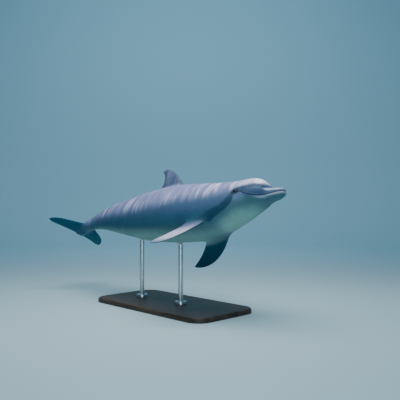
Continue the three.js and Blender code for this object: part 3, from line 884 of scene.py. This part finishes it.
def dimming(behind, form):
    most, *span = form
    return 1 - most * smoothstep(behind, *span)


def measure(at, left, up):
    """What the markings depend on."""
    behind, over = at * 100, up / PERCENT
    found = {name: along(pairs, behind) - over for name, pairs in EDGES.items()}
    for name, (middle, height, length, depth, slant) in OVALS.items():
        ahead = (behind - slant * (over - height) - middle) / length
        found[name] = np.hypot(ahead, (over - height) / depth)
    mouth = over - along(MOUTH_LINE, behind)
    narrow, wide, *span = BELLY_SOFT
    found["belly_softly"] = found["belly"] / (narrow + (wide - narrow) * smoothstep(behind, *span))
    # The face's painted shade is paler lower down, near the snout.
    least, more, *depth = FACE_SHADE_PALES
    paler = least + more * smoothstep(found["face"], *depth)
    found["face_shade_kept"] = 1 - paler * smoothstep(behind, *PALES_AHEAD)
    # The lower lip's painted highlight.
    found["lip_highlight"] = hump(mouth - LIP_HIGHLIGHT_LINE[0], LIP_HIGHLIGHT_LINE[1])
    # Where the painted shade lies in the mouth's groove and the blowhole's slit.
    found["groove"] = hump(mouth, GROOVE_WIDTH)
    width, least = BLOWHOLE_INSIDE
    found["blowhole"] = hump(blowhole_distance(at, left), width) * (over > least)
    # The back's painted top light dims towards the tail.
    found["back_light_dimmed"] = dimming(behind, BACK_LIGHT_DIMS)
    # The painted caustic light dims towards the tail.
    found["caustic_light_dimmed"] = dimming(behind, CAUSTIC_LIGHT_DIM)
    return {"behind": behind, "over": over, "mouth": mouth, **found}


def strength(measures, parts):
    share = np.ones(len(measures["behind"]))
    for name, *span in parts:
        share *= smoothstep(measures[name], *span) if span else measures[name]
    return share


def colour_fins(tint, off_body, upper):
    """The paints with the fins', and how far each point is onto a fin."""
    fins = np.zeros(len(tint))
    for name, far in off_body.items():
        share = smoothstep(far, *FIN_STARTS)
        if name.startswith("flipper"):
            # Painted shade under a flipper, lighter paint on its upward face near the root.
            root = paint(np.tile(FLIPPER_UNDER_SHADE_PAINT, (len(tint), 1)), FLIPPER_ROOT_PAINT, upper)
            tint = paint(tint, root, share)
            tip = TIP_DARKENS * smoothstep(far / far.max(), *FLIPPER_TIP)
            # Painted top light on a flipper's upward face, less towards its tip.
            tint = paint(tint, FLIPPER_TOP_LIGHT_PAINT, upper * smoothstep(far, *FLIPPER_LIGHT_STARTS) * (1 - tip))
        else:
            tint = paint(tint, DORSAL_PAINT if name == "dorsal" else FLUKE_PAINT, share)
        fins = np.maximum(fins, share * (DORSAL_UNSTREAKED if name == "dorsal" else 1))
    return tint, fins


def colour_skin(skin, off_body):
    """Stores each point's paint, how much painted caustic light it gets, and its place for the textures."""
    points = points_of(skin)
    at, left, up = body_place(points)
    measures = measure(at, left, up)
    tint = np.tile(FLANK_PAINT, (len(points), 1))
    for colour, strongest, parts in MARKINGS:
        tint = paint(tint, colour, strongest * strength(measures, parts))
    # How far each face turns up, which sets the flippers' painted top light and painted shade.
    normals = read(skin.data.vertex_normals, "vector", 3)
    upper = smoothstep(np.einsum("ij,ij->i", normals, spine_at(at)[3]), *FACES_UP)
    tint, fins = colour_fins(tint, off_body, upper)
    # The share of painted caustic light, less on the fins.
    streaks = strength(measures, CAUSTIC_LIT_PARTS) * (1 - fins)
    store(skin, "tint", "COLOR", np.column_stack([tint, streaks]))
    store(skin, "place", "VECTOR", np.column_stack([at * LENGTH, left, up]))


# ---- materials

NOISE_SPAN = (0.3, 0.7)


class Nodes:
    """A material's node tree."""

    def __init__(self, name):
        self.material = bpy.data.materials.new(name)
        self.material.use_nodes = True
        self.tree = self.material.node_tree
        self.shader = self.tree.nodes["Principled BSDF"]

    def finished(self, inputs):
        for socket, value in inputs.items():
            self.put(self.shader.inputs[socket], value)
        return self.material

    def add(self, kind, links=None, **settings):
        node = self.tree.nodes.new(f"ShaderNode{kind}")
        for key, value in settings.items():
            setattr(node, key, value)
        for socket, value in (links or {}).items():
            self.put(node.inputs[socket], value)
        return node

    def put(self, socket, value):
        if isinstance(value, bpy.types.NodeSocket):
            self.tree.links.new(value, socket)
        else:
            socket.default_value = value

    def attribute(self, name):
        return self.add("Attribute", attribute_name=name).outputs

    def maths(self, operation, a, b):
        return self.add("Math", {0: a, 1: b}, operation=operation).outputs[0]

    def plus(self, a, b):
        return self.add("VectorMath", {0: a, 1: b}, operation="ADD").outputs[0]

    def varied(self, vector, form, detail, roughness=0.5):
        """Noise of a scale, spread from a lowest to a highest value."""
        scale, low, high = form
        return self.mapped(self.noise(vector, scale, detail, roughness), *NOISE_SPAN, low, high)

    def mapped(self, value, low, high, to_low, to_high):
        links = {"Value": value, "From Min": low, "From Max": high, "To Min": to_low, "To Max": to_high}
        return self.add("MapRange", links, interpolation_type="SMOOTHSTEP").outputs[0]

    def noise(self, vector, scale, detail=3.0, roughness=0.5):
        links = {"Vector": vector, "Scale": scale, "Detail": detail, "Roughness": roughness}
        return self.add("TexNoise", links).outputs["Fac"]

    def stretched(self, vector, scale, turn=(0, 0, 0)):
        links = {"Vector": vector, "Scale": scale, "Rotation": turn}
        return self.add("Mapping", links).outputs["Vector"]

    def mix(self, share, a, b, blend="MIX"):
        links = {"Factor": share, "A": a, "B": b}
        return self.add("Mix", links, data_type="RGBA", blend_type=blend).outputs["Result"]

    def bump(self, height, strength, distance, normal=None):
        links = {"Height": height, "Strength": strength, "Distance": distance}
        if normal is not None:
            links["Normal"] = normal
        return self.add("Bump", links).outputs["Normal"]


# The painted caustic light on the back: its slant, scale, span, share and what breaks it up.
STREAK_SLANT = radians(-6)
STREAK_SCALE = (23, 3, 3)  # close along the body and long up and down it
STREAK_SPAN = (0.43, 0.7)
STREAK_SHARE = 0.72
STREAK_GAPS = (4.4, 0.36, 0.62)  # scale and span of what breaks the streaks up
MOTTLES = (14, 0.92, 1.07)  # scale, darkest and lightest
SPECKLES = (130, 0.95, 1.05)
SKIN_ROUGHNESS = (22, 0.46, 0.6)  # scale, lowest and highest
SKIN_SPECULAR = 0.13
SKIN_PORES = (420, 0.25, 0.4 * MM)  # scale, strength and depth
SKIN_RIPPLES = (30, 0.35, 2 * MM)


def skin_material():
    n = Nodes("dolphin_skin")
    tint = n.attribute("tint")
    place = n.attribute("place")["Vector"]
    # Bands of painted caustic light from slanted, stretched noise.
    slanted = n.stretched(place, (1, 1, 1), (0, STREAK_SLANT, 0))
    streaky = n.noise(n.stretched(slanted, STREAK_SCALE), 1, 4, 0.55)
    scale, low, high = STREAK_GAPS
    gaps = n.mapped(n.noise(place, scale, 2), low, high, 0.2, 1)
    streaks = n.mapped(streaky, *STREAK_SPAN, 0, STREAK_SHARE)
    streaks = n.maths("MULTIPLY", streaks, gaps)
    streaks = n.maths("MULTIPLY", streaks, tint["Alpha"])
    # Mixes the painted caustic light into the skin's paint.
    colour = n.mix(streaks, tint["Color"], (*CAUSTIC_LIGHT_PAINT, 1))
    shade = n.maths("MULTIPLY", n.varied(place, MOTTLES, 5, 0.6), n.varied(place, SPECKLES, 3, 0.6))
    colour = n.mix(1, colour, shade, "MULTIPLY")
    scale, strength, deep = SKIN_PORES
    normal = n.bump(n.noise(n.stretched(place, (1, 0.5, 0.5)), scale, 2), strength, deep)
    scale, strength, deep = SKIN_RIPPLES
    normal = n.bump(n.noise(place, scale, 3), strength, deep, normal)
    gloss = {"Roughness": n.varied(place, SKIN_ROUGHNESS, 4), "Specular IOR Level": SKIN_SPECULAR}
    return n.finished({"Base Color": colour, "Normal": normal, **gloss})


IRIS_RADIUS = 8.2  # millimetres, as the eye's own attribute
IRIS_EDGE = (-0.9, 0.5)
IRIS_RING = (1.1, 0.85)  # half width and strength
PUPIL = (4.6, 2.9)  # half length and half height
PUPIL_EDGE = (0.8, 1.2)
FIBRES = 9
FIBRE_NOISE = (3, 0, 1)
IRIS_PAINTS = (0.003, 0.003, 0.003, 1), (0.01, 0.009, 0.009, 1)
WHITE_PAINTS = (0.01, 0.01, 0.011, 1), (0.032, 0.03, 0.032, 1)
RING_PAINT = (0.004, 0.004, 0.004, 1)
PUPIL_PAINT = (0.001, 0.001, 0.001, 1)
EYE_GLOSS = {"Roughness": 0.1, "Specular IOR Level": 0.4}


def eye_material():
    n = Nodes("dolphin_eye")
    face = n.attribute("face")["Vector"]
    split = n.add("SeparateXYZ", {"Vector": face})
    x, z = split.outputs["X"], split.outputs["Y"]
    radius = n.add("VectorMath", {0: face}, operation="LENGTH").outputs["Value"]
    turn = n.maths("MULTIPLY", n.maths("ARCTAN2", z, x), FIBRES)
    fibres = n.add("CombineXYZ", {"X": turn, "Y": radius}).outputs[0]
    iris = n.mix(n.varied(fibres, FIBRE_NOISE, 4), *IRIS_PAINTS)
    white = n.mix(n.noise(face, 0.6, 3), *WHITE_PAINTS)
    low, high = IRIS_EDGE
    colour = n.mix(n.mapped(radius, IRIS_RADIUS + low, IRIS_RADIUS + high, 0, 1), iris, white)
    off_ring = n.maths("ABSOLUTE", n.maths("SUBTRACT", radius, IRIS_RADIUS), 0)
    colour = n.mix(n.mapped(off_ring, 0, *IRIS_RING, 0), colour, RING_PAINT)
    wide, tall = n.maths("DIVIDE", x, PUPIL[0]), n.maths("DIVIDE", z, PUPIL[1])
    pupil = n.maths("ADD", n.maths("MULTIPLY", wide, wide), n.maths("MULTIPLY", tall, tall))
    colour = n.mix(n.mapped(pupil, *PUPIL_EDGE, 1, 0), colour, PUPIL_PAINT)
    return n.finished({"Base Color": colour, **EYE_GLOSS})


WOOD_WARP = ((0.9, 3, 3), 0.16)  # scale, and how far the grain wanders
GRAIN_OFFSET = (0, 0.35, 0.2)
GRAIN_SCALE = (0.8, 26, 26)
GRAIN_SPAN = (0.32, 0.68)
PORE_SCALE = (9, 330, 330)
PORE_SPAN = (0.54, 0.66)
PORE_SHARE = 0.7
WOOD_PAINTS = (0.024, 0.013, 0.008, 1), (0.085, 0.05, 0.03, 1)
PORE_PAINT = (0.009, 0.006, 0.005, 1)
WOOD_ROUGHNESS = (0.42, 0.56)
WOOD_SPECULAR = 0.35


def wood_material():
    n = Nodes("stained_oak")
    place = n.add("TexCoord").outputs["Object"]
    scale, wander = WOOD_WARP
    warp = n.maths("MULTIPLY", n.noise(n.stretched(place, scale), 1, 3), wander)
    shift = n.add("CombineXYZ", {"Y": warp}).outputs[0]
    bent = n.plus(n.plus(place, GRAIN_OFFSET), shift)
    bands = n.noise(n.stretched(bent, GRAIN_SCALE), 1, 4, 0.6)
    pores = n.noise(n.stretched(bent, PORE_SCALE), 1, 2)
    grain = n.mapped(bands, *GRAIN_SPAN, 0, 1)
    dark = n.mapped(pores, *PORE_SPAN, 0, PORE_SHARE)
    colour = n.mix(dark, n.mix(grain, *WOOD_PAINTS), PORE_PAINT)
    normal = n.bump(dark, 0.5, -0.3 * MM, n.bump(grain, 0.2, 0.4 * MM))
    gloss = {"Roughness": n.mapped(bands, *NOISE_SPAN, *WOOD_ROUGHNESS), "Specular IOR Level": WOOD_SPECULAR}
    return n.finished({"Base Color": colour, "Normal": normal, **gloss})


BRUSH_SCALE = (12, 12, 1500)
BRUSH_ROUGHNESS = (0.27, 0.33)
SMEARS = (30, -0.02, 0.04)  # scale, and what they add to the roughness
STEEL_PAINTS = (0.54, 0.55, 0.56, 1), (0.6, 0.61, 0.62, 1)


def steel_material():
    n = Nodes("brushed_steel")
    place = n.add("TexCoord").outputs["Object"]
    lines = n.noise(n.stretched(place, BRUSH_SCALE), 1, 3, 0.6)
    colour = n.mix(n.mapped(lines, *NOISE_SPAN, 0, 1), *STEEL_PAINTS)
    rough = n.maths("ADD", n.mapped(lines, *NOISE_SPAN, *BRUSH_ROUGHNESS), n.varied(place, SMEARS, 3))
    normal = n.bump(lines, 0.05, 0.02 * MM)
    return n.finished({"Base Color": colour, "Metallic": 1, "Roughness": rough, "Normal": normal})


# ---- eyes

CORNEA_BULGE = 0.9 * MM
CORNEA_REACH = radians(34)
CORNEA_FLAT = 0.25  # share of its reach over which it bulges in full
EYE_INSET = 0.1 * MM
POLE_GAP = 0.02
EYE_RINGS = 56


def make_eye(side, name):
    """An eyeball with its cornea."""
    centre = beside_spine(EYE_AT, side * eye_centre(), EYE_HEIGHT * PERCENT)
    _, ahead, left, top = spine_at(EYE_AT)
    turns = np.linspace(POLE_GAP, pi - POLE_GAP, EYE_RINGS)[:, None]
    c, s = circle(AROUND)
    bulge = CORNEA_BULGE * (1 - smoothstep(turns, CORNEA_FLAT * CORNEA_REACH, CORNEA_REACH))
    radius = EYE_RADIUS - EYE_INSET + bulge
    x, z = radius * np.sin(turns) * c, radius * np.sin(turns) * s
    out = radius * np.cos(turns) * np.ones_like(c)
    points = centre + ahead * x[..., None] + top * z[..., None] + side * left * out[..., None]
    eye = closed_tube(name, points)
    shade_smooth(eye)
    away = points_of(eye) - centre
    face = np.column_stack([away @ ahead, away @ top, np.zeros(len(away))]) / MM
    store(eye, "face", "VECTOR", face)
    eye.data.transform(TO_STAND)
    return eye


# ---- the stand

# Edges of the stand's pieces, in millimetres.
BASE_EDGE = [  # inset and height
    (2.5, 0), (0.7, 0.7), (0, 2.5), (0, 25), (0.6, 26.6), (2.2, 27.4), (3.4, 27.8), (4.2, 29.2),
    (5.2, 32.2), (7.2, 34.6), (9.8, 35.8), (12, 36), (30, 36), (30.6, 35.2), (31.6, 34.8),
    (32.6, 35.2), (33.2, 36),
]
CORNER_STEPS = 20
CUP = [  # the rod's top: radius and depth under the skin, which its rim reaches into
    (19, 26), (19, 16), (19.6, 13), (21.4, 10), (24.4, 7), (26.4, 4.4), (26.8, 2.2), (26.2, -2)
]
COLLAR_EDGE = [  # radius and height
    (19.3, 0), (48, 0), (48, 19.4), (47.4, 21.8), (45.6, 23.4), (43, 24), (27.5, 24),
    (25.6, 23.4), (24.6, 22), (24.2, 20.6), (23.2, 19.8), (19.3, 19.6),
]
SCREWS = 3
SCREW_AT = 35 * MM
SCREW_AROUND = 48
SCREW_EDGE = [(5.6, -1), (5.6, 2.4), (5.4, 3), (4.9, 3.3), (3.3, 3.3)]
SCREW_SOCKET = (2.7 * MM, 1.6 * MM)  # half width, and the height of its floor
CREASE_ANGLE = radians(38)


def rounded_outline(inset):
    """The base's outline, that far inside its edge."""
    x, y = BASE_LENGTH / 2 - BASE_CORNER, BASE_WIDTH / 2 - BASE_CORNER
    turns = np.linspace(0, pi / 2, CORNER_STEPS + 1)
    points = []
    for k, (sx, sy) in enumerate([(1, 1), (-1, 1), (-1, -1), (1, -1)]):
        angle = turns + k * pi / 2
        corner = np.column_stack([np.cos(angle), np.sin(angle)]) * (BASE_CORNER - inset)
        points.append(corner + (sx * x, sy * y))
    return np.concatenate(points)


def make_base():
    rings = [level_ring(*rounded_outline(inset * MM).T, height * MM) for inset, height in BASE_EDGE]
    return closed_tube("base_slab", np.array(rings))


def lathe(name, edge, place):
    """A closed ring turned about an upright line."""
    c, s = circle(AROUND)
    rings = [level_ring(r * c, r * s, z) + place for r, z in np.array(edge) * MM]
    whole = len(edge) * AROUND
    faces = [tuple(k % whole for k in face) for face in ring_faces(len(edge) + 1, AROUND)]
    return closed_mesh(name, np.array(rings), faces)


def make_screw(name, place, turn):
    c, s = circle(SCREW_AROUND)
    rings = [level_ring(r * c, r * s, z) * MM for r, z in SCREW_EDGE]
    flat, floor_height = SCREW_SOCKET
    sixth = pi / 3
    angles = np.arange(SCREW_AROUND) * 2 * pi / SCREW_AROUND
    hexagon = flat / np.cos((angles + turn) % sixth - sixth / 2)
    for z in (SCREW_EDGE[-1][1] * MM, floor_height):
        rings.append(level_ring(hexagon * c, hexagon * s, z))
    return closed_tube(name, np.array(rings) + place)


def skin_over(tree, x, y):
    """Height of the skin's underside over a place on the base."""
    found = tree.ray_cast(Vector((x, y, BASE_THICKNESS + COLLAR_HEIGHT)), Vector((0, 0, 1)))[0]
    return found.z


def rod_foot(at):
    return np.array(TO_STAND @ Vector(spine_at(at)[0]))[:2]


def make_rod(name, at, tree):
    """A rod with a shallow cup on top that follows the skin."""
    foot = rod_foot(at)
    c, s = circle(AROUND)
    x, y = foot[0] + ROD_RADIUS * c, foot[1] + ROD_RADIUS * s
    heights = BASE_THICKNESS, BASE_THICKNESS + COLLAR_HEIGHT, MID_HEIGHT / 2
    rings = [level_ring(x, y, height) for height in heights]
    for radius, under in CUP:
        x, y = foot[0] + radius * MM * c, foot[1] + radius * MM * s
        z = [skin_over(tree, *place) - under * MM for place in zip(x, y)]
        rings.append(np.column_stack([x, y, z]))
    return closed_tube(name, np.array(rings))


def finish_rigid(piece, node, material):
    shade_smooth(piece)
    piece.data.set_sharp_from_angle(angle=CREASE_ANGLE)
    piece.data.materials.append(material)
    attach(piece, "root")
    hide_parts(node)


def merge(name, pieces):
    mesh = bmesh.new()
    for piece in pieces:
        mesh.from_mesh(piece.data)
        bpy.data.objects.remove(piece)
    data = bpy.data.meshes.new(name)
    mesh.to_mesh(data)
    mesh.free()
    return new_object(name, data)


def make_stand(skin):
    tree = tree_of(skin)
    steel = steel_material()
    finish_rigid(make_base(), "stand_base", wood_material())
    for name, at in ROD_AT.items():
        foot = np.array([*rod_foot(at), BASE_THICKNESS])
        finish_rigid(make_rod(f"rod_{name}", at, tree), f"stand_rod_{name}", steel)
        parts = [lathe("collar", COLLAR_EDGE, foot)]
        for k in range(SCREWS):
            turn = 2 * pi * k / SCREWS + pi / 2
            across = np.array([cos(turn) * SCREW_AT, sin(turn) * SCREW_AT, COLLAR_HEIGHT])
            parts.append(make_screw("screw", foot + across, turn))
        collar = merge(f"collar_{name}", parts)
        finish_rigid(collar, f"stand_collar_{name}", steel)


# ---- putting it together

skin, off_body = make_skin()
colour_skin(skin, off_body)
skin.data.transform(TO_STAND)
skin.data.materials.clear()
skin.data.materials.append(skin_material())
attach(skin, "root")
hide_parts("head", "lower_jaw", "chest", "trunk", "tail_stock", "dorsal_fin")
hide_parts("fluke_left", "fluke_right", "flipper_left", "flipper_right")

eye_gloss = eye_material()
for side, which in SIDES:
    eye = make_eye(side, f"eyeball_{which}")
    eye.data.materials.append(eye_gloss)
    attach(eye, "root")
    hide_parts(f"eye_{which}")

make_stand(skin)

# ---- floor, light and camera

CAMERA_TURN = radians(45.67)
CAMERA_AWAY = (0.2364, 0.1265, 4.5308)  # right, up and back from mid-body
FOCAL_PIXELS = 556.25
FRAME_PIXELS = 400
SENSOR = 36  # millimetres

# The studio's floor, which curves up into a wall: distance and height.
STUDIO = [(0.01, 0), (3, 0), (6.5, 0), (7.3, 0.1), (8, 0.42), (8.6, 1), (8.9, 1.8), (9, 2.7), (9, 7)]
STUDIO_AROUND = 96
WALL_COLOUR = (0.42, 0.56, 0.61, 1)
WALL_ROUGHNESS = 0.85
FILL_COLOUR = (0.16, 0.64, 0.9, 1)
FILL_STRENGTH = 0.4
LAMPS = [  # name, watts, size across, place, aim, colour
    ("overhead", 150, 2.6, (0.4, -0.4, 3.5), (0.05, -0.05, 0.7), (1, 0.99, 1)),
    ("front", 9, 2.2, (3.6, -2.2, 2.6), (0.5, 0, 0.8), (0.8, 0.92, 1)),
    ("low", 20, 0.8, (2.5, -2.1, 0.15), (0.3, 0, 0.8), (0.6, 0.9, 1)),
    ("backdrop", 170, 4, (-3, 2.9, 5.2), (-7.6, 7.4, 2), (0.5, 0.8, 1)),
]


def make_studio():
    c, s = circle(STUDIO_AROUND)
    rings = [level_ring(radius * c, radius * s, height) for radius, height in STUDIO]
    studio = mesh_object("studio_floor", np.array(rings), ring_faces(len(STUDIO), STUDIO_AROUND))
    shade_smooth(studio)
    n = Nodes("studio_paint")
    studio.data.materials.append(n.finished({"Base Color": WALL_COLOUR, "Roughness": WALL_ROUGHNESS}))


def make_lights():
    world = bpy.data.worlds.new("studio")
    bpy.context.scene.world = world
    world.use_nodes = True
    background = world.node_tree.nodes["Background"]
    background.inputs["Color"].default_value = FILL_COLOUR
    background.inputs["Strength"].default_value = FILL_STRENGTH
    for name, watts, size, place, aim, colour in LAMPS:
        lamp = bpy.data.lights.new(name, "AREA")
        lamp.energy = watts
        lamp.size = size
        lamp.color = colour
        stood = new_object(name, lamp)
        stood.location = place
        stood.visible_camera = False
        stood.rotation_euler = (Vector(aim) - Vector(place)).to_track_quat("-Z", "Y").to_euler()


def make_camera():
    right = Vector((cos(CAMERA_TURN), sin(CAMERA_TURN), 0))
    back = Vector((sin(CAMERA_TURN), -cos(CAMERA_TURN), 0))
    axes = Matrix((right, (0, 0, 1), back)).transposed().to_4x4()
    data = bpy.data.cameras.new("camera")
    data.sensor_width = SENSOR
    data.lens = FOCAL_PIXELS / FRAME_PIXELS * SENSOR
    camera = new_object("camera", data)
    middle = Matrix.Translation((0, 0, MID_HEIGHT))
    camera.matrix_world = middle @ axes @ Matrix.Translation(CAMERA_AWAY)
    bpy.context.scene.camera = camera


make_studio()
make_lights()
make_camera()
